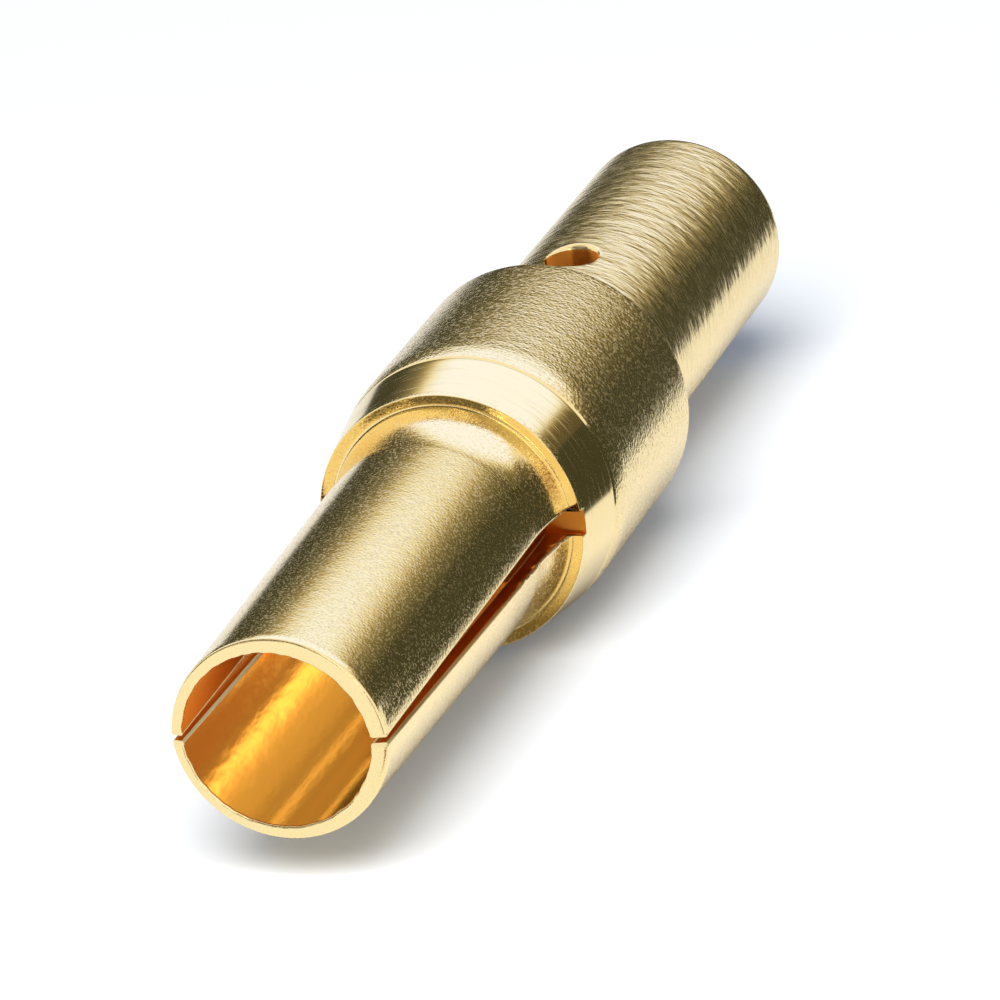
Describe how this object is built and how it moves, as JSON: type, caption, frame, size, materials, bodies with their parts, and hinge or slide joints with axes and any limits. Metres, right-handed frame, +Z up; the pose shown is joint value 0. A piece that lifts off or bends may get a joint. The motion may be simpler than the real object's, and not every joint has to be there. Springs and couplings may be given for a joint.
{
  "type": "crimp socket contact",
  "caption": "Slit socket contact for a round power connector, with spring tines, a collar and a crimp barrel with an inspection hole.",
  "frame": {"origin": "on the floor, under the contact's axis and the middle of its length", "axes": "+Y along the contact's axis, from the mouth of the socket to the crimp end; +Z up, through the inspection hole; the slit lies level, across X"},
  "size_m": [0.0058, 0.026, 0.0058],
  "materials": {
    "gold_plated_brass": "satin gold plating over turned brass"
  },
  "bodies": {
    "root": {"socket_contact": "gold_plated_brass"}
  },
  "joints": []
}
